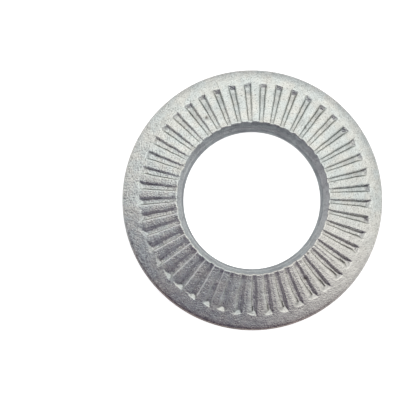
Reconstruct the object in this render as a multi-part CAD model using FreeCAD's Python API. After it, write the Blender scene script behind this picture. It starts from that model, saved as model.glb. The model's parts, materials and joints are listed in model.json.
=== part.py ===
import FreeCAD, Part
import math
import os

# Contact washer: a coned spring washer with radial grooves pressed into its raised face.
# Millimetres. The bore's axis is Z, the rim rests on Z = 0, and the grooved face looks up.
# Radii and lengths towards the rim are measured as seen from above.

# Blank and cone
outer_diameter = 27.0  # overall, at the rounded upper edge of the rim
bore_diameter = 14.2  # clearance hole for an M14 screw
sheet_thickness = 1.8  # square to the cone
crown_rise = 1.25  # from the rim's upper corner to the corner at the bore

# Bore, pierced from the underside: a straight land, then torn wider up to the crown
bore_land_height = 0.45
bore_flare = 0.63  # gained by the bore's radius between the land and the crown

# Edges
rim_upper_rounding = 0.40
rim_lower_rounding = 0.45
crown_chamfer = 0.10
bore_lower_chamfer = 0.08

# Grooves, pressed in square to the cone and open into the bore
groove_count = 45
plain_rim_width = 1.57  # smooth band left between the grooves and the rim
groove_end_run = 0.42  # length of the slope that closes a groove's outer end
groove_end_width = 0.80  # across the top, at the outer end
groove_bore_width = 0.38  # across the top, at the bore
groove_end_depth = 0.32  # at the foot of the end slope
groove_bore_depth = 0.10
groove_wall_lean = 25.0  # degrees between a side wall and the square to the face
cutter_clearance = 0.30  # how far a groove's cutter stands out of the face and into the bore

outer_radius = outer_diameter / 2
bore_radius = bore_diameter / 2
crown_radius = bore_radius + bore_flare
cone_angle = math.atan2(crown_rise, outer_radius - crown_radius)

# Directions in the section: outwards along the face, and square to it
along = FreeCAD.Vector(math.cos(cone_angle), 0, -math.sin(cone_angle))
square = FreeCAD.Vector(math.sin(cone_angle), 0, math.cos(cone_angle))

# What a rounded corner of the rim loses outwards or downwards, for each mm of its radius
rounding_loss = along.x - along.z - 1


def section_corners():
    """The section's sharp corners in the XZ plane: up the rim, in along the face, and down the bore."""
    rim_x = outer_radius + rim_upper_rounding * rounding_loss
    rim_foot = FreeCAD.Vector(rim_x, 0, 0) - square * sheet_thickness
    rim_foot.z = -rim_lower_rounding * rounding_loss
    rim_top = rim_foot + square * sheet_thickness
    crown = rim_top - along * ((rim_top.x - crown_radius) / along.x)
    bore_foot = rim_foot - along * ((rim_foot.x - bore_radius) / along.x)
    land_top = bore_foot + FreeCAD.Vector(0, 0, bore_land_height)
    return rim_foot, rim_top, crown, land_top, bore_foot


def section_wire():
    """The closed section, with the rim's two corners rounded and the bore's two ends chamfered."""
    rim_foot, rim_top, crown, land_top, bore_foot = section_corners()

    def cut_back(corner, neighbour, length):
        return corner + (neighbour - corner).normalize() * length

    def square_corner_arc(corner, before, after, radius):
        """The arc that rounds a right-angled corner."""
        start = cut_back(corner, before, radius)
        end = cut_back(corner, after, radius)
        centre = start + end - corner
        middle = cut_back(centre, corner, radius)
        return start, middle, end

    foot_arc = square_corner_arc(rim_foot, bore_foot, rim_top, rim_lower_rounding)
    top_arc = square_corner_arc(rim_top, rim_foot, crown, rim_upper_rounding)
    straight_run = [
        top_arc[-1],
        cut_back(crown, rim_top, crown_chamfer),
        cut_back(crown, land_top, crown_chamfer),
        land_top,
        cut_back(bore_foot, land_top, bore_lower_chamfer),
        cut_back(bore_foot, rim_foot, bore_lower_chamfer),
        foot_arc[0],
    ]
    edges = [Part.Arc(*foot_arc).toShape(), Part.makeLine(foot_arc[-1], top_arc[0]), Part.Arc(*top_arc).toShape()]
    edges += [Part.makeLine(start, end) for start, end in zip(straight_run, straight_run[1:])]
    return Part.Wire(edges)


def groove_cutter():
    """One groove at angle 0, as a solid: a floor, two leaning side walls and a sloped outer end."""
    _, rim_top, *_ = section_corners()
    end_radius = outer_radius - plain_rim_width
    foot_radius = end_radius - groove_end_run
    bore_end_radius = bore_radius - cutter_clearance
    lean = math.tan(math.radians(groove_wall_lean))
    widening = (groove_end_width - groove_bore_width) / (end_radius - bore_radius)

    def corner_pair(radius, height):
        """The left and right wall's points at this radius and height over the face."""
        on_face = rim_top - along * ((rim_top.x - radius) / along.x)
        side = (groove_bore_width + widening * (radius - bore_radius)) / 2 + lean * height
        sideways = FreeCAD.Vector(0, side, 0)
        return on_face + square * height - sideways, on_face + square * height + sideways

    slope_overrun = groove_end_run * cutter_clearance / groove_end_depth
    pairs = [
        corner_pair(bore_end_radius, -groove_bore_depth),
        corner_pair(foot_radius, -groove_end_depth),
        corner_pair(end_radius + slope_overrun, cutter_clearance),
        corner_pair(bore_end_radius, cutter_clearance),
    ]
    loops = [[left for left, _ in pairs], [right for _, right in pairs]]
    for i, (left, right) in enumerate(pairs):
        next_left, next_right = pairs[(i + 1) % len(pairs)]
        loops.append([left, right, next_right, next_left])
    faces = [Part.Face(Part.makePolygon(loop + loop[:1])) for loop in loops]
    return Part.Solid(Part.Shell(faces))


def contact_washer():
    axis = FreeCAD.Vector(0, 0, 1)
    centre = FreeCAD.Vector(0, 0, 0)
    ring = Part.Face(section_wire()).revolve(centre, axis, 360)
    cutter = groove_cutter()
    cutters = []
    for i in range(groove_count):
        turned = cutter.copy()
        turned.rotate(centre, axis, i * 360 / groove_count)
        cutters.append(turned)
    return ring.cut(cutters)


os.makedirs("parts", exist_ok=True)
washer = contact_washer()
washer.exportStep("parts/contact_washer.step")
print("valid", washer.isValid(), "solids", len(washer.Solids), "volume", round(washer.Volume, 2), "mm3")
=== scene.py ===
import json
import math

import bpy
import numpy as np
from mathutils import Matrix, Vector


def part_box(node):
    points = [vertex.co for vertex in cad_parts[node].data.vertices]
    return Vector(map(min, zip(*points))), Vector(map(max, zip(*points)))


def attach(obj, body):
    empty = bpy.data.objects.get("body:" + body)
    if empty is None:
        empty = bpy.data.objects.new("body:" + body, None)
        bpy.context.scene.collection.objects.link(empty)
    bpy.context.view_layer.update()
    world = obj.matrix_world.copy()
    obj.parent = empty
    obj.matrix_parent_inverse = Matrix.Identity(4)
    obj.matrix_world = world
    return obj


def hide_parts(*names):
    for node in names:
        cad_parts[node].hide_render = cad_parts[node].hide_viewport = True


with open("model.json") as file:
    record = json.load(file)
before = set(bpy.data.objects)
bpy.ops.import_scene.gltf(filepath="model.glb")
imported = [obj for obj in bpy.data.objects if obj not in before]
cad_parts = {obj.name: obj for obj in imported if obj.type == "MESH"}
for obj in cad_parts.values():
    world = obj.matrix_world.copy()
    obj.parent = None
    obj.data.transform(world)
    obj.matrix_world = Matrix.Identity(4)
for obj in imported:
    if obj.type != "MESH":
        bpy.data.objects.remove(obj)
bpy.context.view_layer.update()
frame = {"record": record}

# The contact washer, lying on its rim and seen from above. Lengths are in millimetres until they
# reach the scene, which is in metres.
MM = 0.001
NODE = "contact_washer"

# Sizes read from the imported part
box_low, box_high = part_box(NODE)
mounts = {mount["name"]: mount for mount in frame["record"]["mounts"]}
OUTER_RADIUS = (box_high.x - box_low.x) / 2 / MM
BORE_RADIUS = mounts["screw_bore"]["dims"]["r_mm"]

# Section, as the part has it
SHEET = 1.8
CROWN_RISE = 1.25
BORE_LAND = 0.45
BORE_FLARE = 0.63
RIM_UPPER_ROUND = 0.40
RIM_LOWER_ROUND = 0.45
CROWN_BREAK = 0.10
BORE_LOWER_BREAK = 0.08

# Grooves, as the part has them
GROOVES = 45
PLAIN_RIM = 1.57
END_RUN = 0.42
END_WIDTH = 0.80
BORE_WIDTH = 0.38
END_DEPTH = 0.32
BORE_DEPTH = 0.10
WALL_LEAN = math.radians(25)
CUTTER_CLEARANCE = 0.30

PITCH = 2 * math.pi / GROOVES
END_RADIUS = OUTER_RADIUS - PLAIN_RIM
FOOT_RADIUS = END_RADIUS - END_RUN
CROWN_RADIUS = BORE_RADIUS + BORE_FLARE
CONE = math.atan2(CROWN_RISE, OUTER_RADIUS - CROWN_RADIUS)
ALONG = np.array([math.cos(CONE), -math.sin(CONE)])
SQUARE = np.array([math.sin(CONE), math.cos(CONE)])
UP = np.array([0.0, 1.0])
ROUND_LOSS = math.cos(CONE) + math.sin(CONE) - 1

RIM_FOOT = np.array([OUTER_RADIUS + RIM_UPPER_ROUND * ROUND_LOSS, 0.0]) - SQUARE * SHEET
RIM_FOOT[1] = -RIM_LOWER_ROUND * ROUND_LOSS
RIM_TOP = RIM_FOOT + SQUARE * SHEET
CROWN = RIM_TOP - ALONG * ((RIM_TOP[0] - CROWN_RADIUS) / ALONG[0])
BORE_FOOT = RIM_FOOT - ALONG * ((RIM_FOOT[0] - BORE_RADIUS) / ALONG[0])
LAND_TOP = BORE_FOOT + np.array([0, BORE_LAND])
FLARE_DOWN = (LAND_TOP - CROWN) / np.linalg.norm(LAND_TOP - CROWN)
WIDEST_HEIGHT = RIM_TOP[1] - (ALONG[1] + SQUARE[1]) * RIM_UPPER_ROUND

# Camera, from the photograph's perspective
FRAME_PX = 400
WASHER_RADIUS_PX = 130.0
WASHER_CENTRE_PX = (252.35, 200.35)
CAMERA_FOOT_PX = (208.0, 252.0)
CAMERA_HEIGHT = 54.0  # over the widest point of the rim
GROOVE_TURN = math.radians(5.45)  # the first groove's angle in the photograph
PX = OUTER_RADIUS / WASHER_RADIUS_PX
SENSOR_WIDTH = 36
CLIP_RANGE = (0.005, 10)  # metres
SIGHT_ROUNDS = 3  # in which a seen point settles on the face


def stretch(azimuth, gain=1.0, loss=0.0):
    """A stretch round this azimuth of the photograph. The gain widens it, and the loss narrows it."""
    return math.radians(azimuth), gain, loss


def share_at(turn, where):
    """The stretch's share at this turn of the washer, from 0 to 1."""
    azimuth, gain, loss = where
    return np.clip(gain * np.cos(turn + GROOVE_TURN - azimuth) - loss, 0, 1)


# The two sides of a groove, seen from above
CLOCKWISE = -1
ANTICLOCKWISE = 1


def both(anticlockwise, clockwise):
    return {ANTICLOCKWISE: anticlockwise, CLOCKWISE: clockwise}


# The press worked a little off the blank's centre: right and up in the photograph
STRIKE_SHIFT = np.array([0.153, 0.075])  # the grooves
CROWN_SHIFT = np.array([-0.055, 0.067])
BORE_SHIFT = np.array([-0.05, -0.03])
STRIKE_HELD = (0.1, -0.5)  # from the grooves' ends and from the rim, where the shift runs out
BORE_SHIFT_REACH = 2.0  # from the bore outwards, along the underside

# It struck lightest on one stretch, and sharpest on another
LIGHT_STRIKE = stretch(232)
LIGHT_STRIKE_DEPTH = 0.68  # a groove's depth there, as a share
LIGHT_STRIKE_RISE = (0.45, 0.80)  # between these shares, the walls lose their painted shade and the crests gain painted highlights
LIGHT_WALL_LEAN = math.radians(55)  # at most, of clockwise walls there and of rolled ones
LIGHT_WALL_RUN = 2.0  # from the end slope inwards to where that lean starts
SHARP_WALL_LEAN = math.radians(9)  # of the clockwise walls where they lean least
SHARP_STRIKE = stretch(135, 1.5, 0.5)
LAND_TILT = 0.10  # how far the lands lean towards the groove that follows
TILTED = stretch(200, 4, 3)

# Drawing pulled the blank's edge down, and more on one stretch than on another
DRAW_IN = 0.035
DRAW_IN_WIDTH = 1.2
DRAW_IN_EXTRA = 1.5  # how many times more where it was drawn most
DRAWN_MOST = stretch(50)
DRAW_IN_EASED = 0.85  # the share less where it was drawn least
DRAWN_LEAST = stretch(175)
RIM_PLATED = 0.32  # the share of plating left on the sheared rim there

# How pressing and plating softened a groove
FLOOR_SOFTNESS = 0.025
EDGE_SOFTNESS = 0.04  # where the face turns into a side wall
END_SOFTNESS = 0.025  # where it turns into the end slope
EDGE_INSET = 0.02  # the rolled edge widens a groove, so its wall starts further in
END_SLOPE_RISE = (-0.10, 0.05)  # where the end slope takes over, from its foot
BURR_HEIGHT = 0.006
BURR_WIDTH = 0.05
BURR_DEPTH = END_DEPTH / 2  # from here a groove has its whole burr and rolled edge
TILT_DEPTH = END_DEPTH / 3  # and from here the land beside it has its whole lean
ROLL_REACH = 0.13  # from a groove's edge to where the face starts to roll
ROLL_DROP = 0.03
ROLL_REACH_MOST = 0.34  # on the clockwise side, where it is rolled most
ROLL_DROP_MOST = 0.055
ROLLED = stretch(290, 2.6, 1.4)
ROLL_RISE = (-0.5, 2.0)  # where the rolled edges set in, from the crown outwards
MOUTH_DEPTH_SHARE = 0.28  # how deep a groove still is at the bore
MOUTH_RUN = 0.6
FLOOR_CLEARANCE = 0.05  # between the deepest floor and the end slope
LEAST_DEPTH = 0.05

# What chance gives each groove, as the spread of its values
ANGLE_SPREAD = 0.0012  # radians
DEPTH_SPREAD = 0.06  # a share
WIDTH_SPREAD = 0.012
END_SHIFT_SPREAD = 0.02
END_SLANT_SPREAD = 0.15
CREST_HIGHLIGHTS = (1.2, 1.8)
END_SHADING = (0.5, 1)
TAB_SHARES = (0, 1.8)

# Wandering lines: the step between knots, and how far a knot lies off at most
EDGE_WANDERS = ((0.33, 0.014), (0.9, 0.014))
FLOOR_WANDER = (0.5, 0.012)
BURR_WANDER = (0.4, 1.2)
CREST_HIGHLIGHT_WANDER = (0.5, 0.4)
PATCH_WANDER = (0.45, 0.6)
OVERHANG_WANDERS = ((0.035, 0.028), (0.09, 0.028))
TEAR_WANDERS = ((0.12, 0.03), (0.5, 0.03))
SCRAPE_WANDER = (0.06, 0.35)
BORE_SHADE_WANDER = (0.05, 0.5)

# The crown and the torn bore
CROWN_OVERHANG = 0.025
CROWN_FADE = 0.7  # how far over the face the crown's ragged line shifts it
TAB_REACH = 0.018
TAB_WIDTH = 0.26
LIP_HEIGHT = 0.02
LIP_WIDTH = 0.16
TEAR_LINE = 0.45  # where the bore's tear lies, as a share of the way up its flare
TEAR_WIDTH = 0.08
TEAR_RIDGE = 0.022
TORN_CROWN = (0.6, 0.1, 0)  # the torn look's share over the crown's break, from the flare to the face

# Painted shade in the grooves, and in the creases at the foot of their walls, by the share of the way down:
# where each rises and where it ends
WALL_SHADE_RISE = (0.25, 0.55)
WALL_SHADE_END = (0.85, 0.98)
END_SHADE_RISE = (0, 0.2)
FLOOR_SHADE_RISE = (0.5, 0.9)
FLOOR_SHADE_START = (0.6, 3.1)  # from the crown outwards
FLOOR_SHADE = 0.55
FLOOR_SHADED = stretch(65, 1.8)
PATCH_MEAN = 0.7
PATCH_MOST = 1.2
SEAM = 0.35  # how dark the painted shade in the crease at the foot of a side wall is
SEAM_TOP = 0.4
SEAM_MOST = 1.0  # on the anticlockwise walls, where their painted crease shade is darkest
SEAM_TOP_MOST = 0.12
SEAM_RISE = 0.2
SEAM_END = (0.9, 1.0)
SEAMED = stretch(183)
END_SHADED = ((stretch(318, 1.5), 1.0), (stretch(105, 1.5), 0.55))  # with the most painted shade of each
LIGHT_STRIKE_END_SHADE = 0.7
LIGHT_STRIKE_UNSHADED = 0.85
CLOCKWISE_UNSHADED = 0.8  # the share of painted shade that the clockwise walls lack
CLOCKWISE_UNSHADED_SIDE = stretch(130)
ANTICLOCKWISE_UNSHADED = 0.45
ANTICLOCKWISE_UNSHADED_SIDE = stretch(300)

# Painted highlights, on the crests beside the grooves and on their anticlockwise walls
CREST_PLACE = 0.015  # from a groove's edge
CREST_WIDTH = 0.05
CREST_END = (-0.1, 0.1)  # from the end slope's foot
CREST_HIGHLIGHT_MEAN = 0.8
CREST_HIGHLIT = stretch(212, 4, 2.8)
CLOCKWISE_CREST_HIGHLIGHT = 0.15
WALL_HIGHLIGHT = 0.5
WALL_HIGHLIGHT_RISE = (0.2, 0.5)
WALL_HIGHLIGHT_END = (0.88, 0.98)
WALL_HIGHLIT = stretch(268, 1.8, 0.7)

# Stain, painted shade, scraped metal and painted highlights in the bore, by the share of the way up its
# flare
# Painted shade high up the bore's flare, darkest on one side
BORE_SHADE_MEAN = 0.5
BORE_SHADE_LOW_SHARE = 0.4
BORE_SHADE_RISE = (0.55, 0.90)
BORE_SHADED = stretch(72, 1.5, 0.4)
LOW_STAIN = 0.4
LOW_STAIN_END = (0.2, 0.5)
LOW_STAINED = stretch(240, 1.5, -0.3)
CROWN_STAIN = 0.5
CROWN_STAINED = stretch(284, 2, 1)
SCRAPED_MEAN = 0.75  # how bright the tear's ridge is scraped
# Painted highlights high up the bore's flare, on three sides
BORE_HIGHLIGHT_RISE = (0.3, 0.7)
BORE_HIGHLIGHTS = ((stretch(2, 3, 1.8), 0.8), (stretch(180, 3, 1.8), 0.4), (stretch(225, 3, 1.8), 0.2))

# Marks of wear, by their place in the photograph
MARKS = [
    {"at_px": (305.5, 278.5), "width": 0.42, "depth": 0.07, "dirt_and_shade": 1.0},
    {"at_px": (307.7, 253.7), "width": 0.28, "depth": 0.04, "dirt_and_shade": 0.8},
    {"at_px": (206.3, 117.5), "width": 0.34, "depth": 0.06, "dirt_and_shade": 1.0},
    {"at_px": (305.9, 126.9), "width": 0.30, "depth": 0.06, "dirt_and_shade": 0.8},
]
SCRATCHES = [
    {"from_px": (298.8, 125.5), "to_px": (303.5, 119.5)},
    {"from_px": (301.0, 126.5), "to_px": (305.0, 121.5)},
]
SCRATCH = {"width": 0.13, "depth": 0.03, "dirt_and_shade": 0.4}
DENTS = 90
DENT_WIDTHS = (0.16, 0.34)
DENT_DEPTHS = (0.006, 0.022)
DENT_STAINS = (0, 0.35)
DENT_RIM_GAP = 0.3
SMUDGES = 46
SMUDGE_WIDTHS = (0.25, 0.6)
SMUDGE_STAINS = (0.1, 0.4)
SMUDGE_RIM_GAP = 0.2
RIPPLE = 0.00175  # height of the waves, for each mm of their length
RIPPLE_WAVES = 24
RIPPLE_LENGTHS = (0.7, 3.5)

# Seeds of the random draws
GROOVE_SEED = 14
WEAR_SEED = 9
RIPPLE_SEED = 27

# Rows of the grid across the face, by their distance from the axis: closer where the shape turns
CROWN_ROWS = CROWN_RADIUS + CROWN_BREAK + np.array([0, 0.05, 0.11, 0.18, 0.27, 0.38])
GROOVE_ROWS = np.linspace(CROWN_RADIUS + 0.60, FOOT_RADIUS - 0.16, 26)
FOOT_ROWS = FOOT_RADIUS + np.array([-0.05, 0.02, 0.10])
END_SLOPE_ROWS = np.linspace(FOOT_RADIUS + 0.20, END_RADIUS - 0.06, 4)
END_ROWS = END_RADIUS + np.array([-0.02, 0.03, 0.09])
BAND_ROWS = np.linspace(END_RADIUS + 0.22, RIM_TOP[0] - RIM_UPPER_ROUND - 0.02, 8)
FACE_ROWS = np.concatenate([CROWN_ROWS, GROOVE_ROWS, FOOT_ROWS, END_SLOPE_ROWS, END_ROWS, BAND_ROWS])

# Round the rest of the section
UPPER_ROUND_ROWS = 8
RIM_SIDE_ROWS = 3
LOWER_ROUND_ROWS = 6
UNDERSIDE_ROWS = 4
BORE_LAND_ROWS = 2
FLARE_ROWS = 9
UPPER_ROUND_SHEARED = (-0.2, 1.6)  # the sheared look's share, before smoothing
LOWER_ROUND_SHEARED = (2, 0)
BORE_BREAK_TORN = (0, 0.5, 1)  # the torn look's share, from the underside up
UP_FLARE = np.linspace(0, 1, FLARE_ROWS + 2)[1:]
UP_CROWN_BREAK = np.array([0.25, 0.5, 0.75])
TURN_STEPS = 720

# Columns of the grid on each side of a groove's middle
FLOOR_COLUMN = 0.5  # a share of the floor's half width
WALL_COLUMNS = (-0.1, 0.25, 0.55)  # shares of the wall's run, from its foot
WALL_RUN_MOST = 0.85  # a share of the groove's half width
WALL_DEPTH_LEAST = END_DEPTH / 2  # the least depth that a wall's run is worked out for
WALL_TOP_COLUMN = 0.025  # before the edge
CREST_COLUMN = 0.035  # past the crest's middle
ROLL_COLUMN = 0.6  # a share of the rolled edge
ROLL_MOST = 0.75  # a share of half the land
LAND_COLUMNS = (0.3, 0.65)  # shares of what is left of half the land


def photo_way(right, up):
    """The washer's X and Y for a way right and up in the photograph."""
    turn = -GROOVE_TURN
    return right * math.cos(turn) - up * math.sin(turn), right * math.sin(turn) + up * math.cos(turn)


def smooth(value):
    value = np.clip(value, 0, 1)
    return value * value * (3 - 2 * value)


def mix(first, second, share):
    """The first where the share is 0, and the second where it is 1."""
    return first + (second - first) * share


def rise(value, start, end):
    """A smooth rise from 0 at the start to 1 at the end."""
    return smooth((value - start) / (end - start))


def wander(rng, at, step, size):
    """A smooth random line over the positions at, with a knot every step and this size."""
    knots = np.arange(at.min() - step, at.max() + 2 * step, step)
    heights = rng.uniform(-size, size, len(knots))
    place = (at - knots[0]) / step
    index = np.minimum(place.astype(int), len(knots) - 2)
    share = smooth(place - index)
    return heights[index] * (1 - share) + heights[index + 1] * share


def wanders(rng, at, lines):
    return sum(wander(rng, at, step, size) for step, size in lines)


def soft_min(a, b, softness):
    return (a + b - np.sqrt((a - b) ** 2 + softness ** 2)) / 2


def soft_max(a, b, softness):
    return -soft_min(-a, -b, softness)


def arc(corner, start_direction, end_direction, radius, steps):
    """Points of the arc that rounds a right-angled corner of the section."""
    centre = corner - (start_direction + end_direction) * radius
    angles = np.linspace(0, math.pi / 2, steps)
    return [centre + (end_direction * math.cos(a) + start_direction * math.sin(a)) * radius for a in angles]


def straight(start, end, steps):
    """Points from start to end, without the two ends."""
    return [start + (end - start) * i / (steps + 1) for i in range(1, steps + 1)]


def rim_rows():
    """The section from the face's outer edge round the rim, the underside and the bore's land.

    Each point comes with its shares of the sheared and of the torn look.
    """
    upper_round = arc(RIM_TOP, ALONG, SQUARE, RIM_UPPER_ROUND, UPPER_ROUND_ROWS)
    lower_round = arc(RIM_FOOT, -SQUARE, ALONG, RIM_LOWER_ROUND, LOWER_ROUND_ROWS)
    side = straight(upper_round[-1], lower_round[0], RIM_SIDE_ROWS)
    break_start = BORE_FOOT + ALONG * BORE_LOWER_BREAK
    break_end = BORE_FOOT + np.array([0, BORE_LOWER_BREAK])
    bore_break = [break_start, (break_start + break_end + BORE_FOOT) / 3, break_end]
    underside = straight(lower_round[-1], break_start, UNDERSIDE_ROWS)
    land = straight(break_end, LAND_TOP, BORE_LAND_ROWS) + [LAND_TOP]
    rows = upper_round + side + lower_round + underside + bore_break + land
    sheared = np.zeros(len(rows))
    rim = len(upper_round + side)
    sheared[:rim] = 1
    sheared[:len(upper_round)] = smooth(np.linspace(*UPPER_ROUND_SHEARED, len(upper_round)))
    sheared[rim:rim + len(lower_round)] = smooth(np.linspace(*LOWER_ROUND_SHEARED, len(lower_round)))
    torn = np.zeros(len(rows))
    torn[-len(land):] = 1
    torn[-len(bore_break + land):-len(land)] = BORE_BREAK_TORN
    return np.array(rows), sheared, torn


RIM_ROWS, RIM_SHEARED, RIM_TORN = rim_rows()
PART_ROWS = (len(FACE_ROWS), len(RIM_ROWS), len(UP_FLARE), len(UP_CROWN_BREAK))


def all_rows(face=0.0, rim=0.0, flare=0.0, crown=0.0):
    """A value for each row of a column, from those of its four parts."""
    parts = zip((face, rim, flare, crown), PART_ROWS)
    return np.concatenate([np.broadcast_to(part, rows) for part, rows in parts])


SHEARED = all_rows(rim=RIM_SHEARED)
TORN = all_rows(rim=RIM_TORN, flare=1.0, crown=TORN_CROWN)
ON_TOP = all_rows(face=1.0, crown=1.0)  # the rows that wear and ripples reach


def drawn_in(radii, turn):
    """How far the face falls below its cone towards the rim."""
    extra = DRAW_IN_EXTRA * share_at(turn, DRAWN_MOST)
    most = DRAW_IN * (1 + extra - DRAW_IN_EASED * share_at(turn, DRAWN_LEAST))
    return most * np.clip((radii - OUTER_RADIUS + DRAW_IN_WIDTH) / DRAW_IN_WIDTH, 0, 1) ** 2


class Groove:
    """One pressed groove, a little different from its neighbours."""

    def __init__(self, index, rng, radii):
        self.angle = index * PITCH + rng.normal(0, ANGLE_SPREAD)
        self.light = self.at(LIGHT_STRIKE)
        self.edge_wander, self.burr, self.crest_highlight = {}, {}, {}
        self.draw_differences(rng, radii)
        self.lean_and_roll()
        self.paint_shade()
        self.paint_highlights()

    def draw_differences(self, rng, radii):
        """What chance gives this groove, in a fixed order."""
        struck = mix(1, LIGHT_STRIKE_DEPTH, self.light)
        self.depth_share = (1 + rng.normal(0, DEPTH_SPREAD)) * struck
        crest_highlight = rng.uniform(*CREST_HIGHLIGHTS)
        self.end_shading = rng.uniform(*END_SHADING)
        self.width_extra = rng.normal(0, WIDTH_SPREAD)
        self.end_shift = rng.normal(0, END_SHIFT_SPREAD)
        self.end_slant = rng.normal(0, END_SLANT_SPREAD)
        self.floor_patches = np.clip(PATCH_MEAN + wander(rng, radii, *PATCH_WANDER), 0, PATCH_MOST)
        self.tab_share = rng.uniform(*TAB_SHARES)
        for side in (CLOCKWISE, ANTICLOCKWISE):
            self.edge_wander[side] = wanders(rng, radii, EDGE_WANDERS)
            self.burr[side] = BURR_HEIGHT * (1 + wander(rng, radii, *BURR_WANDER))
            self.crest_highlight[side] = crest_highlight * (CREST_HIGHLIGHT_MEAN + wander(rng, radii, *CREST_HIGHLIGHT_WANDER))
        self.floor_wander = wander(rng, radii, *FLOOR_WANDER)

    def lean_and_roll(self):
        """How its side walls lean and roll over. Only the clockwise side changes round the washer."""
        plain = math.tan(WALL_LEAN)
        rolled = self.at(ROLLED)
        self.wall_run = both(plain, mix(plain, math.tan(SHARP_WALL_LEAN), self.at(SHARP_STRIKE)))
        self.extra_run = both(0.0, (math.tan(LIGHT_WALL_LEAN) - plain) * max(self.light ** 2, rolled))
        self.roll_drop = both(ROLL_DROP, mix(ROLL_DROP, ROLL_DROP_MOST, rolled))
        self.roll_reach = both(ROLL_REACH, mix(ROLL_REACH, ROLL_REACH_MOST, rolled))

    def paint_shade(self):
        """Painted shade on its walls, floor and end slope, and in the creases at the feet of its walls."""
        unshaded = max(ANTICLOCKWISE_UNSHADED * self.at(ANTICLOCKWISE_UNSHADED_SIDE) ** 2,
                      LIGHT_STRIKE_UNSHADED * rise(self.light, *LIGHT_STRIKE_RISE))
        clockwise_unshaded = max(CLOCKWISE_UNSHADED * self.at(CLOCKWISE_UNSHADED_SIDE) ** 2,
                                LIGHT_STRIKE_UNSHADED * self.light)
        self.wall_shade = both(1 - unshaded, 1 - clockwise_unshaded)
        seamed = self.at(SEAMED) ** 3
        self.seam_top = both(mix(SEAM_TOP, SEAM_TOP_MOST, seamed), SEAM_TOP)
        self.seam = both(max(SEAM * (1 - unshaded), SEAM_MOST * seamed),
                         SEAM * (1 - clockwise_unshaded) * (1 - seamed))
        end_shades = [min(self.at(where), most) for where, most in END_SHADED]
        self.end_shade = self.end_shading * max(LIGHT_STRIKE_END_SHADE * self.light, *end_shades)
        self.floor_shade = FLOOR_SHADE * self.at(FLOOR_SHADED)

    def paint_highlights(self):
        """Painted highlights on its crests and its anticlockwise wall."""
        self.crest_highlight[ANTICLOCKWISE] *= smooth(self.at(CREST_HIGHLIT))
        self.crest_highlight[CLOCKWISE] *= CLOCKWISE_CREST_HIGHLIGHT * rise(self.light, *LIGHT_STRIKE_RISE)
        self.wall_highlights = both(WALL_HIGHLIGHT * self.at(WALL_HIGHLIT), 0.0)

    def at(self, where):
        return share_at(self.angle, where)

    def half_width(self, radii, side):
        widening = (END_WIDTH - BORE_WIDTH) / (END_RADIUS - BORE_RADIUS)
        width = BORE_WIDTH + widening * (radii - BORE_RADIUS) + self.width_extra
        return width / 2 - EDGE_INSET + self.edge_wander[side]

    def lean(self, radii, side):
        """How far a side wall leans, as its run over its depth."""
        return self.wall_run[side] + self.extra_run[side] * rise(radii - FOOT_RADIUS, -LIGHT_WALL_RUN, 0)

    def on_end_slope(self, radii):
        return rise(radii - FOOT_RADIUS - self.end_shift, *END_SLOPE_RISE)

    def floor_depth(self, radii, aside=0.0):
        """Depth of the floor and the end slope, whichever is less."""
        inner = BORE_RADIUS - CUTTER_CLEARANCE
        share = (radii - inner) / (FOOT_RADIUS - inner)
        floor = mix(BORE_DEPTH, END_DEPTH, share) * self.depth_share + self.floor_wander
        past_mouth = rise(radii - CROWN_RADIUS, 0, MOUTH_RUN)
        floor = floor * mix(MOUTH_DEPTH_SHARE, 1, past_mouth)
        to_end = END_RADIUS + self.end_shift + self.end_slant * aside - radii
        return soft_min(floor, to_end / END_RUN * END_DEPTH, FLOOR_SOFTNESS)

    def depth(self, radii, aside, side):
        """Depth below the face at a distance from the axis and from the groove's middle line."""
        beyond_edge = np.abs(aside) - self.half_width(radii, side)
        floor = self.floor_depth(radii, side * aside)
        wall = -beyond_edge / self.lean(radii, side)
        pressed = soft_min(floor, wall, FLOOR_SOFTNESS)
        reach = self.roll_reach[side]
        roll = self.roll_drop[side] * np.clip(1 - beyond_edge / reach, 0, 1) ** 2
        roll = roll * rise(radii - CROWN_RADIUS, *ROLL_RISE)
        burr = self.burr[side] * np.exp(-((beyond_edge - reach) / BURR_WIDTH) ** 2)
        edge = (roll - burr) * np.clip(floor / BURR_DEPTH, 0, 1)
        tilt = self.land_tilt(radii, aside, side) * smooth(floor / TILT_DEPTH)
        softness = mix(EDGE_SOFTNESS, END_SOFTNESS, self.on_end_slope(radii))
        return soft_max(pressed, edge + tilt, softness)

    def land_tilt(self, radii, aside, side):
        """How far the land beside the groove has dropped, by leaning towards the groove that follows."""
        tilt = LAND_TILT * share_at(self.angle + side * aside / radii, TILTED)
        top = self.half_width(radii, side)
        across = (np.abs(aside) - top) / (2 * (radii * math.tan(PITCH / 2) - top))
        share = across if side == ANTICLOCKWISE else 1 - across
        return tilt * np.clip(share, 0, 1) ** 2

    def way_down(self, radii, aside, side):
        """The share of the way down to the floor, which is carried on to the rim past the end slope."""
        deepest = self.floor_depth(np.minimum(radii, FOOT_RADIUS - FLOOR_CLEARANCE))
        return self.depth(radii, aside, side) / np.maximum(deepest, LEAST_DEPTH)

    def shade_share(self, radii, aside, side):
        """The share of painted shade, on the side walls' lower part, on the end slope and in patches on the
        floor.
        """
        down = self.way_down(radii, aside, side)
        on_wall = rise(down, *WALL_SHADE_RISE) * (1 - rise(down, *WALL_SHADE_END))
        on_end = self.on_end_slope(radii) * rise(down, *END_SHADE_RISE)
        on_floor = rise(down, *FLOOR_SHADE_RISE) * self.floor_shade * self.floor_patches
        on_floor = on_floor * rise(radii - CROWN_RADIUS, *FLOOR_SHADE_START)
        return np.maximum(on_wall * self.wall_shade[side], on_floor) * (1 - on_end) + self.end_shade * on_end

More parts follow.
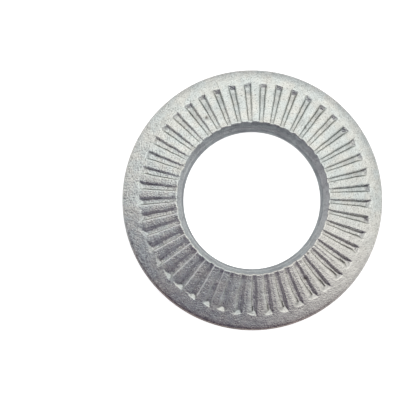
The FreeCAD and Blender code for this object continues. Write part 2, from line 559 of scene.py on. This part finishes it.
    def crease_shade_share(self, radii, aside, side):
        """The share of painted shade in the crease at the foot of a side wall."""
        down = self.way_down(radii, aside, side)
        top = self.seam_top[side]
        at_foot = rise(down, top, top + SEAM_RISE) * (1 - rise(down, *SEAM_END))
        return at_foot * self.seam[side] * (1 - self.on_end_slope(radii))

    def highlight_share(self, radii, aside, side):
        """The share of painted highlight, on the crest beside the groove and on its side wall."""
        beyond_edge = np.abs(aside) - self.half_width(radii, side)
        crest = np.exp(-((beyond_edge - CREST_PLACE) / CREST_WIDTH) ** 4)
        down = self.way_down(radii, aside, side)
        on_wall = rise(down, *WALL_HIGHLIGHT_RISE) * (1 - rise(down, *WALL_HIGHLIGHT_END))
        share = np.clip(crest * self.crest_highlight[side] + on_wall * self.wall_highlights[side], 0, 1)
        return share * (1 - rise(radii - FOOT_RADIUS, *CREST_END))


class Bore:
    """How the crown and the bore change round the washer."""

    def __init__(self, rng):
        self.turns = np.linspace(0, 2 * math.pi, TURN_STEPS)
        painted_highlight = [most * share_at(self.turns, where) for where, most in BORE_HIGHLIGHTS]
        self.lines = {
            "overhang": CROWN_OVERHANG + wanders(rng, self.turns, OVERHANG_WANDERS),
            "tear": TEAR_LINE + wanders(rng, self.turns, TEAR_WANDERS),
            "scraped": SCRAPED_MEAN + wander(rng, self.turns, *SCRAPE_WANDER),
            "bore_shade": (BORE_SHADE_MEAN + wander(rng, self.turns, *BORE_SHADE_WANDER)) * share_at(self.turns, BORE_SHADED),
            "painted_highlight": np.max(painted_highlight, axis=0),
            "low_stain": LOW_STAIN * share_at(self.turns, LOW_STAINED),
            "crown_stain": CROWN_STAIN * share_at(self.turns, CROWN_STAINED),
        }

    def at(self, turn):
        """The values of all the lines at one turn."""
        return {name: np.interp(turn, self.turns, line) for name, line in self.lines.items()}


def column_offsets(groove, radii, side):
    """How far aside one side's columns lie, from the groove's middle to halfway along the land."""
    top = groove.half_width(radii, side)
    wall_run = groove.lean(radii, side) * np.maximum(groove.floor_depth(radii), WALL_DEPTH_LEAST)
    wall_run = np.minimum(wall_run, WALL_RUN_MOST * top)
    floor = top - wall_run
    half_pitch = radii * math.tan(PITCH / 2)
    rolled = top + np.minimum(groove.roll_reach[side], ROLL_MOST * (half_pitch - top))
    offsets = [floor * FLOOR_COLUMN] + [floor + wall_run * share for share in WALL_COLUMNS]
    offsets += [top - WALL_TOP_COLUMN, top + CREST_PLACE, top + CREST_PLACE + CREST_COLUMN]
    offsets += [top + (rolled - top) * ROLL_COLUMN, rolled]
    return offsets + [rolled + (half_pitch - rolled) * share for share in LAND_COLUMNS]


class Column:
    """One column of the grid: a section through the washer, beside a groove's middle line.

    Its rows run out over the face, round the rim, in along the underside and up the bore.
    """

    def __init__(self, groove, side, offsets, bore):
        self.groove = groove
        self.side = side
        self.offsets = offsets
        self.place = (FACE_ROWS, offsets, side)
        self.depths = groove.depth(*self.place)
        self.turn = (groove.angle + side * offsets[0] / FACE_ROWS[0]) % (2 * math.pi)
        self.near_groove = math.exp(-(offsets[0] / TAB_WIDTH) ** 2)
        self.bore = bore.at(self.turn)
        self.tear = np.exp(-((UP_FLARE - self.bore["tear"]) / TEAR_WIDTH) ** 2)

    def section(self):
        """Radius and height of each row."""
        sunk = self.depths[0] / -(FLARE_DOWN @ SQUARE)
        tab = TAB_REACH * self.near_groove * self.groove.tab_share + self.bore["overhang"]
        corner = CROWN + FLARE_DOWN * sunk - np.array([tab, 0])
        face = self.face(corner[0] + self.depths[0] * SQUARE[0] - CROWN[0])
        fall = drawn_in(RIM_ROWS[:, 0], self.turn) * np.clip(RIM_ROWS[:, 1] / WIDEST_HEIGHT, 0, 1)
        rim = RIM_ROWS - UP * fall[:, None]
        flare_start = corner + FLARE_DOWN * CROWN_BREAK
        flare = np.array(straight(LAND_TOP, flare_start, FLARE_ROWS) + [flare_start])
        flare[:, 0] -= TEAR_RIDGE * self.tear
        up = UP_CROWN_BREAK[:, None]
        crown_break = up ** 2 * face[0] + 2 * up * (1 - up) * corner + (1 - up) ** 2 * flare_start
        return np.vstack([face, rim, flare, crown_break])

    def face(self, crown_shift):
        """The rows of the face, which follow the shift of the crown near it."""
        past_crown = FACE_ROWS - CROWN_RADIUS - CROWN_BREAK
        radii = FACE_ROWS + crown_shift * (1 - smooth(past_crown / CROWN_FADE))
        lip = LIP_HEIGHT * np.exp(-(past_crown / LIP_WIDTH) ** 2) * (1 - self.near_groove)
        on_cone = RIM_TOP - ALONG * ((RIM_TOP[0] - radii) / ALONG[0])[:, None]
        return on_cone + SQUARE * (lip - self.depths)[:, None] - UP * drawn_in(FACE_ROWS, self.turn)[:, None]

    def angles(self):
        face = self.groove.angle + self.side * np.arcsin(self.offsets / FACE_ROWS)
        outward = np.clip((RIM_ROWS[:, 0] - BORE_RADIUS) / (OUTER_RADIUS - BORE_RADIUS), 0, 1)
        rim = mix(face[0], face[-1], outward)
        return all_rows(face, rim, face[0], face[0])

    def stain_and_shade(self):
        on_face = self.groove.shade_share(*self.place)
        on_land = self.bore["low_stain"] * (RIM_TORN == 1)
        # Painted shade high up the flare, and a darker stain low on it
        high = mix(BORE_SHADE_LOW_SHARE, 1, rise(UP_FLARE, *BORE_SHADE_RISE)) * self.bore["bore_shade"]
        low = (1 - rise(UP_FLARE, *LOW_STAIN_END)) * self.bore["low_stain"]
        return all_rows(on_face, on_land, np.maximum(high, low), self.bore["crown_stain"])

    def polish_and_highlight(self):
        # The scraped ridge of the tear, and painted highlights higher up the flare
        scraped_and_highlit = self.tear * self.bore["scraped"] + rise(UP_FLARE, *BORE_HIGHLIGHT_RISE) * self.bore["painted_highlight"]
        return all_rows(self.groove.highlight_share(*self.place), flare=np.clip(scraped_and_highlit, 0, 1))

    def dirt_and_shade(self):
        # Painted shade in the creases at the feet of the grooves' walls
        return all_rows(self.groove.crease_shade_share(*self.place))


def groove_columns(groove, bore):
    """The columns of one groove and of half the land on each side of it."""
    middle = np.zeros(len(FACE_ROWS))
    land_middle = FACE_ROWS * math.tan(PITCH / 2)
    before = column_offsets(groove, FACE_ROWS, CLOCKWISE)
    after = column_offsets(groove, FACE_ROWS, ANTICLOCKWISE)
    columns = [Column(groove, CLOCKWISE, offsets, bore) for offsets in reversed(before)]
    onwards = [middle, *after, land_middle]
    return columns + [Column(groove, ANTICLOCKWISE, offsets, bore) for offsets in onwards]


def washer_grid():
    """Radius, height, angle and shares of every vertex, column by column."""
    rng = np.random.default_rng(GROOVE_SEED)
    grooves = [Groove(index, rng, FACE_ROWS) for index in range(GROOVES)]
    bore = Bore(rng)
    columns = [column for groove in grooves for column in groove_columns(groove, bore)]
    sections = np.array([column.section() for column in columns])
    angle = np.array([column.angles() for column in columns])
    shares = {
        "sheared": SHEARED * (1 - RIM_PLATED * share_at(angle, DRAWN_LEAST) ** 3),
        "torn": np.tile(TORN, (len(columns), 1)),
        "stain_and_shade": np.array([column.stain_and_shade() for column in columns]),
        "polish_and_highlight": np.array([column.polish_and_highlight() for column in columns]),
        "dirt_and_shade": np.array([column.dirt_and_shade() for column in columns]),
    }
    return sections[:, :, 0], sections[:, :, 1], angle, shares


def row_shifts():
    """How far each row is off the blank's centre, right and up in the photograph.

    The first of the two is for its distance from the axis, and the second for its place round it.
    """
    held_from, held_to = STRIKE_HELD
    to_ends = np.interp(FACE_ROWS, (CROWN_RADIUS, END_RADIUS), (0, 1))[:, None]
    held = 1 - rise(FACE_ROWS, END_RADIUS + held_from, OUTER_RADIUS + held_to)[:, None]
    near_bore = np.clip(1 - (RIM_ROWS[:, :1] - BORE_RADIUS) / BORE_SHIFT_REACH, 0, 1)

    def with_crown(crown_shift):
        face = mix(crown_shift, STRIKE_SHIFT, to_ends) * held
        flare = mix(BORE_SHIFT, crown_shift, UP_FLARE[:, None])
        crown = np.tile(crown_shift, (len(UP_CROWN_BREAK), 1))
        return np.vstack([face, near_bore * BORE_SHIFT, flare, crown])

    return with_crown(CROWN_SHIFT), with_crown(STRIKE_SHIFT)


def struck_off_centre(x, y, z):
    """Shifts each row as the press did, and keeps it on the cone."""
    outward_shift, turning_shift = row_shifts()
    out_x, out_y = photo_way(*outward_shift.T)
    round_x, round_y = photo_way(*turning_shift.T)
    radius = np.hypot(x, y)
    outward = ((out_x - round_x) * x + (out_y - round_y) * y) / radius ** 2
    x, y = x + round_x + outward * x, y + round_y + outward * y
    z = z - (np.hypot(x, y) - radius) * math.tan(CONE)
    return x, y, z


def camera_foot():
    """The washer's X and Y straight below the camera."""
    right = (CAMERA_FOOT_PX[0] - WASHER_CENTRE_PX[0]) * PX
    up = (WASHER_CENTRE_PX[1] - CAMERA_FOOT_PX[1]) * PX
    return np.array(photo_way(right, up))


def face_point(at_px):
    """The washer's X and Y of a place on its face, from where the photograph shows it."""
    seen = np.array(photo_way((at_px[0] - CAMERA_FOOT_PX[0]) * PX, (CAMERA_FOOT_PX[1] - at_px[1]) * PX))
    point = camera_foot() + seen
    for _ in range(SIGHT_ROUNDS):
        above_rim = RIM_TOP[1] + (RIM_TOP[0] - np.hypot(*point)) * math.tan(CONE) - WIDEST_HEIGHT
        point = camera_foot() + seen * (1 - above_rim / CAMERA_HEIGHT)
    return point


class Wear:
    """Depth, dirt and stain of the marks, scratches, dents and smudges."""

    def __init__(self, x, y):
        self.x = x
        self.y = y
        self.depth = self.dirt_and_shade = self.stain_and_shade = np.zeros_like(x)
        for mark in MARKS:
            from_mark = self.from_point(*face_point(mark["at_px"]))
            self.press(from_mark, mark["width"], mark["depth"], dirt_and_shade=mark["dirt_and_shade"])
        for scratch in SCRATCHES:
            from_line = self.from_line(face_point(scratch["from_px"]), face_point(scratch["to_px"]))
            self.press(from_line, **SCRATCH)
        rng = np.random.default_rng(WEAR_SEED)
        for _ in range(DENTS):
            dent = self.from_point(*self.anywhere(rng, CROWN_RADIUS, OUTER_RADIUS - DENT_RIM_GAP))
            sizes = rng.uniform(*DENT_WIDTHS), rng.uniform(*DENT_DEPTHS)
            self.press(dent, *sizes, stain_and_shade=rng.uniform(*DENT_STAINS))
        for _ in range(SMUDGES):
            smudge = self.from_point(*self.anywhere(rng, END_RADIUS, OUTER_RADIUS - SMUDGE_RIM_GAP))
            self.press(smudge, rng.uniform(*SMUDGE_WIDTHS), 0, stain_and_shade=rng.uniform(*SMUDGE_STAINS))

    def anywhere(self, rng, inner, outer):
        from_axis = rng.uniform(inner, outer)
        turn = rng.uniform(0, 2 * math.pi)
        return from_axis * math.cos(turn), from_axis * math.sin(turn)

    def from_point(self, x, y):
        return np.hypot(self.x - x, self.y - y)

    def from_line(self, start, end):
        run = end - start
        along = np.clip(((self.x - start[0]) * run[0] + (self.y - start[1]) * run[1]) / (run @ run), 0, 1)
        return np.hypot(self.x - start[0] - along * run[0], self.y - start[1] - along * run[1])

    def press(self, distance, width, depth, dirt_and_shade=0.0, stain_and_shade=0.0):
        share = np.exp(-(distance / (width / 2)) ** 2)
        self.depth = self.depth + depth * share
        self.dirt_and_shade = np.maximum(self.dirt_and_shade, dirt_and_shade * share)
        self.stain_and_shade = np.maximum(self.stain_and_shade, stain_and_shade * share)


def ripple(x, y):
    """Faint waves that rolling and pressing left in the face."""
    rng = np.random.default_rng(RIPPLE_SEED)
    height = np.zeros_like(x)
    for _ in range(RIPPLE_WAVES):
        length = rng.uniform(*RIPPLE_LENGTHS)
        heading = rng.uniform(0, math.pi)
        phase = rng.uniform(0, 2 * math.pi)
        along = x * math.cos(heading) + y * math.sin(heading)
        height += np.sin(2 * math.pi * along / length + phase) * RIPPLE * length / math.sqrt(RIPPLE_WAVES)
    return height


def grid_mesh(x, y, z, shares):
    """A closed mesh from a grid that joins up both ways, with the shares as attributes."""
    columns, rows = x.shape
    points = np.stack([x, y, z], axis=2).reshape(-1, 3) * MM
    column, row = np.meshgrid(np.arange(columns), np.arange(rows), indexing="ij")
    next_column = (column + 1) % columns
    next_row = (row + 1) % rows
    corners = [(column, row), (column, next_row), (next_column, next_row), (next_column, row)]
    quads = np.stack([at_column * rows + at_row for at_column, at_row in corners], axis=2).reshape(-1, 4)
    mesh = bpy.data.meshes.new("washer_surface")
    mesh.from_pydata(points.tolist(), [], quads.tolist())
    mesh.shade_smooth()
    for name, values in shares.items():
        attribute = mesh.attributes.new(name, "FLOAT", "POINT")
        attribute.data.foreach_set("value", values.reshape(-1).astype(np.float32))
    mesh.validate()
    return mesh


def washer_mesh():
    radius, height, angle, shares = washer_grid()
    x, y, z = struck_off_centre(radius * np.cos(angle), radius * np.sin(angle), height)
    wear = Wear(x, y)
    z = z + (ripple(x, y) - wear.depth) * ON_TOP
    shares["stain_and_shade"] = np.maximum(shares["stain_and_shade"], wear.stain_and_shade * ON_TOP)
    shares["dirt_and_shade"] = np.maximum(shares["dirt_and_shade"], wear.dirt_and_shade * ON_TOP)
    return grid_mesh(x, y, z, shares)


def add_node(tree, kind, inputs, **settings):
    """A shader node with its settings, and its inputs as values or as links from other nodes."""
    made = tree.nodes.new("ShaderNode" + kind)
    for name, value in settings.items():
        setattr(made, name, value)
    for name, value in inputs.items():
        if isinstance(value, bpy.types.NodeSocket):
            tree.links.new(value, made.inputs[name])
        else:
            made.inputs[name].default_value = value
    return made


def noise(tree, place, grain_mm, detail):
    """Noise whose spots are about this wide."""
    made = add_node(tree, "TexNoise", {"Vector": place, "Scale": 1 / (grain_mm * MM), "Detail": detail})
    return made.outputs["Fac"]


def remap(tree, value, from_range, to_range=(0, 1)):
    """The value, moved smoothly from one range to another."""
    inputs = {"Value": value, "From Min": from_range[0], "From Max": from_range[1],
              "To Min": to_range[0], "To Max": to_range[1]}
    return add_node(tree, "MapRange", inputs, interpolation_type="SMOOTHSTEP").outputs["Result"]


def calculate(tree, operation, first, second):
    return add_node(tree, "Math", {0: first, 1: second}, operation=operation).outputs["Value"]


def times(tree, first, second):
    return calculate(tree, "MULTIPLY", first, second)


def plus(tree, first, second):
    return calculate(tree, "ADD", first, second)


def vector_value(tree, operation, inputs):
    return add_node(tree, "VectorMath", inputs, operation=operation).outputs["Value"]


def blend(tree, share, first, second):
    """The first colour where the share is 0, and the second where it is 1."""
    made = add_node(tree, "Mix", {0: share}, data_type="RGBA")
    for slot, colour in ((6, first), (7, second)):
        if isinstance(colour, bpy.types.NodeSocket):
            tree.links.new(colour, made.inputs[slot])
        else:
            made.inputs[slot].default_value = (*colour, 1)
    return made.outputs[2]


def tinted(tree, colour, share, tint):
    """The colour, darkened by the tint where the share is 1."""
    factor = blend(tree, share, (1, 1, 1), tint)
    return add_node(tree, "VectorMath", {0: colour, 1: factor}, operation="MULTIPLY").outputs["Vector"]


def level_place(tree, place):
    """The place, brought down to the plane that the washer rests on."""
    x, y, _ = add_node(tree, "SeparateXYZ", {0: place}).outputs
    return add_node(tree, "CombineXYZ", {0: x, 1: y}).outputs[0]


def facing(tree, place, azimuth):
    """The cosine of a place's turn from this azimuth of the photograph, in degrees."""
    azimuth = math.radians(azimuth)
    toward = (*photo_way(math.cos(azimuth), math.sin(azimuth)), 0)
    level = level_place(tree, place)
    outward = add_node(tree, "VectorMath", {0: level}, operation="NORMALIZE").outputs["Vector"]
    return vector_value(tree, "DOT_PRODUCT", {0: outward, 1: toward})


# Noises of the plating: the width of spots, and the detail
GRAIN = (0.13, 3)
LUMPS = (0.42, 2)
CLOUDS = (1.1, 2)
TINTS = (1.3, 2)
PITS = (0.16, 2)
STREAKS = (1.6, 2)
STREAK_FLATTENING = 9.0

# Colours of the face in three tints, of the sheared rim, of the torn bore, and of the painted highlights and
# the metal scraped bare in the bore
PLATED_WARM = (0.725, 0.73, 0.68)
PLATED_COOL = (0.685, 0.726, 0.70)
# Paler and yellower, as painted light on one side of the face
PLATED_PAINTED_LIGHT = (0.806, 0.79, 0.733)
RIM_GREEN = (0.30, 0.31, 0.28)
RIM_BROWN = (0.24, 0.205, 0.19)
RIM_AT_GRAZING = (0.35, 0.33, 0.32)
BORE_PALE = (0.40, 0.44, 0.447)
BORE_GREY = (0.25, 0.265, 0.285)
BORE_SCRAPED_AND_HIGHLIT = (0.70, 0.72, 0.72)
# White of the painted highlights on the grooves' crests and walls
HIGHLIGHT_WHITE = (1.0, 1.0, 1.0)
TINT_RANGE = (0.35, 0.65)
RIM_RANGE = (0.4, 0.6)
BORE_RANGE = (0.32, 0.7)

# Sides where the plating differs, or where light and shade are painted on it: the azimuth in degrees, and
# the rise by the cosine of the turn from it
# Painted light on one side of the face
PAINTED_LIGHT_SIDE = (310, (0.6, 1.0))
# Coarser grain, with painted light and shade on its specks
COARSE_SIDE = (172, (0.5, 1.0))
# Painted shade on one side of the band near the rim, and on two opposite sides of the edge
SHADED_BAND_SIDE = (203, (0.92, 1.0))
SHADED_EDGE_AZIMUTH = 317  # and the side opposite
SHADED_EDGE_RANGE = (0.80, 0.96)  # of the cosine squared

# What darkens it: stains, dirt, pits and painted shade
# Darkens real stains, and the painted shade in the grooves and the bore
STAIN_AND_SHADE_TINT = (0.535, 0.54, 0.56)
STAIN_AND_SHADE_GRAIN = (0.3, 0.6)
STAIN_AND_SHADE_RANGE = (0.4, 1)
# Darkens the marks' dirt, the pits and the painted shade in the creases
DIRT_AND_SHADE_TINT = (0.16, 0.14, 0.13)
PIT_GRAIN = (0.60, 0.70)
PIT_RANGE = (0, 0.5)
# Painted shade on two sides of the rim's edge, tinted brown on one side and grey on the other
RIM_EDGE_SHADE_COSINES = (0.3, 0.95)
RIM_EDGE_SHADES = [
    {"side": (256, RIM_EDGE_SHADE_COSINES), "width": 0.7, "tint": (0.60, 0.50, 0.49)},
    {"side": (64, RIM_EDGE_SHADE_COSINES), "width": 1.1, "tint": (0.74, 0.74, 0.765)},
]
# Tints of that painted shade
BAND_SHADE_TINT = (0.79, 0.80, 0.83)
EDGE_SHADE_TINT = (0.89, 0.89, 0.90)
SHADE_START = (-0.7, -0.3)  # of the band from the grooves' ends, and of the edge from the rim

# The plating's grain, which is coarser on one side and coarsest on its band near the rim, where its specks
# also carry painted light and shade
COARSE_BAND_START = (-0.6, 0.2)  # from the grooves' ends outwards
COARSE_BAND_RANGE = (0.4, 1)
GRAIN_RANGE = (0.28, 0.50)
GRAIN_DARKEST = 0.80
PAINTED_GRAIN_SHADE = 0.32
GRAIN_PALEST = 1.03
PAINTED_GRAIN_LIGHT = 0.13
CLOUD_RANGE = (0.3, 0.7)
LUMP_SHADES = (0.95, 1.05)
CLOUD_SHADES = (0.95, 1.04)
GRAIN_HEIGHT = 0.040
LUMP_HEIGHT = 0.018

# Gloss, which is less where the metal is sheared, torn, scraped bare or painted with highlights
ROUGHNESS = (0.21, 0.30)
EXTRA_ROUGHNESS = (0.3, 0.35, 0.25)  # where it is sheared, polished or painted with highlights, and torn
TORN_METAL_LOSS = 0.45
POLISH_AND_HIGHLIGHT_METAL_LOSS = 0.9


class Plating:
    """The nodes that dull zinc plating is mixed from."""

    def __init__(self, tree):
        self.tree = tree
        self.place = add_node(tree, "TexCoord", {}).outputs["Object"]
        names = ("sheared", "torn", "stain_and_shade", "polish_and_highlight", "dirt_and_shade")
        self.sheared, self.torn, self.stain_and_shade, self.polish_and_highlight, self.dirt_and_shade = map(self.share, names)
        self.grain = noise(tree, self.place, *GRAIN)
        self.lumps = noise(tree, self.place, *LUMPS)
        self.from_axis = vector_value(tree, "LENGTH", {0: level_place(tree, self.place)})
        self.coarse_side = self.on_side(*COARSE_SIDE)
        on_band = self.from_radius(END_RADIUS, COARSE_BAND_START, COARSE_BAND_RANGE)
        self.coarser = times(tree, self.coarse_side, on_band)

    def share(self, name):
        return add_node(self.tree, "Attribute", {}, attribute_name=name).outputs["Fac"]

    def on_side(self, azimuth, cosines):
        return remap(self.tree, facing(self.tree, self.place, azimuth), cosines)

    def from_radius(self, radius, start, to_range=(0, 1)):
        """A rise outwards that begins and ends this far from a radius."""
        between = ((radius + start[0]) * MM, (radius + start[1]) * MM)
        return remap(self.tree, self.from_axis, between, to_range)

    def clean_colour(self):
        """The colour of the face, the sheared rim and the torn bore, with the painted highlights and the
        scraped bare metal over them.
        """
        tree = self.tree
        tints = remap(tree, noise(tree, self.place, *TINTS), TINT_RANGE)
        plated = blend(tree, tints, PLATED_WARM, PLATED_COOL)
        plated = blend(tree, self.on_side(*PAINTED_LIGHT_SIDE), plated, PLATED_PAINTED_LIGHT)
        rim = blend(tree, remap(tree, self.lumps, RIM_RANGE), RIM_GREEN, RIM_BROWN)
        bore = blend(tree, remap(tree, self.streaks(), BORE_RANGE), BORE_GREY, BORE_PALE)
        colour = blend(tree, self.torn, blend(tree, self.sheared, plated, rim), bore)
        return blend(tree, self.polish_and_highlight, colour, blend(tree, self.torn, HIGHLIGHT_WHITE, BORE_SCRAPED_AND_HIGHLIT))

    def streaks(self):
        """Noise drawn out round the bore, as tearing leaves it."""
        tree = self.tree
        x, y, z = add_node(tree, "SeparateXYZ", {0: self.place}).outputs
        drawn_out = add_node(tree, "CombineXYZ", {0: x, 1: y, 2: times(tree, z, STREAK_FLATTENING)})
        return noise(tree, drawn_out.outputs[0], *STREAKS)

    def soiled_and_shaded(self, colour):
        """The colour with stains, dirt and pits, and with painted shade in the grooves, in the bore and on
        two sides of the rim's edge.
        """
        tree = self.tree
        stain_and_shade_amount = times(tree, self.stain_and_shade, remap(tree, self.grain, STAIN_AND_SHADE_GRAIN, STAIN_AND_SHADE_RANGE))
        colour = tinted(tree, colour, stain_and_shade_amount, STAIN_AND_SHADE_TINT)
        # Painted shade at the rim's edge on two sides
        for rim_edge_shade in RIM_EDGE_SHADES:
            at_rim = self.from_radius(OUTER_RADIUS, (-rim_edge_shade["width"], 0))
            share = times(tree, at_rim, self.on_side(*rim_edge_shade["side"]))
            colour = tinted(tree, colour, share, rim_edge_shade["tint"])
        pits = remap(tree, noise(tree, self.place, *PITS), PIT_GRAIN, PIT_RANGE)
        return tinted(tree, colour, calculate(tree, "MAXIMUM", self.dirt_and_shade, pits), DIRT_AND_SHADE_TINT)

    def side_shaded(self, colour):
        """The colour with painted shade on one side of the band near the rim and on two sides of the edge.
        """
        tree = self.tree
        on_band = times(tree, self.from_radius(END_RADIUS, SHADE_START), self.on_side(*SHADED_BAND_SIDE))
        colour = tinted(tree, colour, on_band, BAND_SHADE_TINT)
        on_edge = self.from_radius(OUTER_RADIUS, SHADE_START)
        cosine = facing(tree, self.place, SHADED_EDGE_AZIMUTH)
        either_side = remap(tree, times(tree, cosine, cosine), SHADED_EDGE_RANGE)
        return tinted(tree, colour, times(tree, on_edge, either_side), EDGE_SHADE_TINT)

    def grained(self, colour):
        """The colour with the plating's grain, lumps and clouds, and with painted light and shade on the
        grain's specks on one side.
        """
        tree = self.tree
        darkest = calculate(tree, "SUBTRACT", GRAIN_DARKEST, times(tree, self.coarser, PAINTED_GRAIN_SHADE))
        palest = plus(tree, GRAIN_PALEST, times(tree, self.coarse_side, PAINTED_GRAIN_LIGHT))
        grains = remap(tree, self.grain, GRAIN_RANGE, (darkest, palest))
        lumps = remap(tree, self.lumps, CLOUD_RANGE, LUMP_SHADES)
        clouds = remap(tree, noise(tree, self.place, *CLOUDS), CLOUD_RANGE, CLOUD_SHADES)
        shade = times(tree, times(tree, grains, lumps), clouds)
        return add_node(tree, "VectorMath", {0: colour, "Scale": shade}, operation="SCALE").outputs["Vector"]

    def roughness(self):
        roughness = remap(self.tree, self.lumps, CLOUD_RANGE, ROUGHNESS)
        for share, extra in zip((self.sheared, self.polish_and_highlight, self.torn), EXTRA_ROUGHNESS):
            roughness = plus(self.tree, roughness, times(self.tree, share, extra))
        return roughness

    def metallic(self):
        tree = self.tree
        of_torn = calculate(tree, "SUBTRACT", 1.0, times(tree, self.torn, TORN_METAL_LOSS))
        of_polish = calculate(tree, "SUBTRACT", 1.0, times(tree, self.polish_and_highlight, POLISH_AND_HIGHLIGHT_METAL_LOSS))
        return times(tree, of_torn, of_polish)

    def normal(self):
        tree = self.tree
        height = plus(tree, times(tree, self.grain, GRAIN_HEIGHT), times(tree, self.lumps, LUMP_HEIGHT))
        height = times(tree, height, plus(tree, self.coarser, 1.0))
        return add_node(tree, "Bump", {"Height": height, "Distance": MM, "Strength": 1.0}).outputs["Normal"]


def zinc_material():
    """Dull zinc plating, fine grained on the face and darker on the rim and in the bore, with painted light
    and shade in places.
    """
    material = bpy.data.materials.new("zinc_plating")
    material.use_nodes = True
    tree = material.node_tree
    plating = Plating(tree)
    colour = plating.grained(plating.side_shaded(plating.soiled_and_shaded(plating.clean_colour())))
    shader = tree.nodes["Principled BSDF"]
    inputs = {"Base Color": colour, "Metallic": plating.metallic(), "Roughness": plating.roughness(),
              "Normal": plating.normal(),
              "Specular Tint": blend(tree, plating.sheared, (1, 1, 1), RIM_AT_GRAZING)}
    for name, value in inputs.items():
        tree.links.new(value, shader.inputs[name])
    return material


def make_washer():
    washer = bpy.data.objects.new("grooved_washer", washer_mesh())
    bpy.context.collection.objects.link(washer)
    washer.data.materials.append(zinc_material())
    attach(washer, "root")
    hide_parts(NODE)


# White floor, in metres, which glows only for the camera and in what shows it
FLOOR_SIZE = 4
FLOOR_COLOUR = (0.8, 0.8, 0.8, 1)
FLOOR_ROUGHNESS = 0.9
FLOOR_GLOW = 0.8


def make_floor():
    bpy.ops.mesh.primitive_plane_add(size=FLOOR_SIZE, location=(0, 0, 0))
    floor = bpy.context.object
    floor.name = "floor"
    material = bpy.data.materials.new("white_floor")
    material.use_nodes = True
    tree = material.node_tree
    shader = tree.nodes["Principled BSDF"]
    shader.inputs["Base Color"].default_value = FLOOR_COLOUR
    shader.inputs["Roughness"].default_value = FLOOR_ROUGHNESS
    shader.inputs["Emission Color"].default_value = (1, 1, 1, 1)
    path = add_node(tree, "LightPath", {})
    seen = calculate(tree, "MAXIMUM", path.outputs["Is Camera Ray"], path.outputs["Is Glossy Ray"])
    seen = calculate(tree, "MAXIMUM", seen, path.outputs["Is Transmission Ray"])
    tree.links.new(times(tree, seen, FLOOR_GLOW), shader.inputs["Emission Strength"])
    floor.data.materials.append(material)


def make_camera():
    camera_data = bpy.data.cameras.new("camera")
    camera = bpy.data.objects.new("camera", camera_data)
    bpy.context.collection.objects.link(camera)
    bpy.context.scene.camera = camera
    x, y = camera_foot()
    camera.location = (x * MM, y * MM, (WIDEST_HEIGHT + CAMERA_HEIGHT) * MM)
    camera.rotation_euler = (0, 0, -GROOVE_TURN)
    camera_data.sensor_width = SENSOR_WIDTH
    camera_data.lens = SENSOR_WIDTH * CAMERA_HEIGHT / (FRAME_PX * PX)
    camera_data.shift_x = (FRAME_PX / 2 - CAMERA_FOOT_PX[0]) / FRAME_PX
    camera_data.shift_y = (CAMERA_FOOT_PX[1] - FRAME_PX / 2) / FRAME_PX
    camera_data.clip_start, camera_data.clip_end = CLIP_RANGE


# Studio light, in metres: a softbox above, to the right of the photograph's top, in a room that
# darkens away from it
LIGHT_AZIMUTH = math.radians(64)
LIGHT_TILT = math.radians(17)
LIGHT_DISTANCE = 0.30
LIGHT_SPREAD = math.radians(36)
LIGHT_RADIANCE = 0.49
ROOM_DARK = (0.132, 0.114, 0.160)
ROOM_BRIGHT = (0.74, 0.74, 0.74)
ROOM_TURN = (-0.5, 0.08)  # between these shares of a way towards the light, the room brightens


def make_room(toward):
    world = bpy.data.worlds.new("studio")
    bpy.context.scene.world = world
    world.use_nodes = True
    tree = world.node_tree
    way = add_node(tree, "TexCoord", {}).outputs["Generated"]
    facing_light = vector_value(tree, "DOT_PRODUCT", {0: way, 1: (*toward, 0)})
    limits = {"From Min": ROOM_TURN[0], "From Max": ROOM_TURN[1]}
    share = add_node(tree, "MapRange", {"Value": facing_light, **limits})
    room = blend(tree, share.outputs["Result"], ROOM_DARK, ROOM_BRIGHT)
    tree.links.new(room, tree.nodes["Background"].inputs["Color"])


def make_softbox(toward):
    radius = LIGHT_DISTANCE * math.tan(LIGHT_SPREAD)
    lamp_data = bpy.data.lights.new("softbox", "AREA")
    lamp_data.shape = "DISK"
    lamp_data.size = 2 * radius
    lamp_data.energy = LIGHT_RADIANCE * math.pi * math.pi * radius ** 2
    lamp = bpy.data.objects.new("softbox", lamp_data)
    bpy.context.collection.objects.link(lamp)
    across = math.sin(LIGHT_TILT)
    away = Vector((toward[0] * across, toward[1] * across, math.cos(LIGHT_TILT)))
    lamp.location = away * LIGHT_DISTANCE
    lamp.rotation_euler = (-away).to_track_quat("-Z", "Y").to_euler()


def make_light():
    toward = photo_way(math.cos(LIGHT_AZIMUTH), math.sin(LIGHT_AZIMUTH))
    make_room(toward)
    make_softbox(toward)


make_camera()
make_light()
make_floor()
make_washer()

bpy.context.scene.view_settings.view_transform = "Standard"
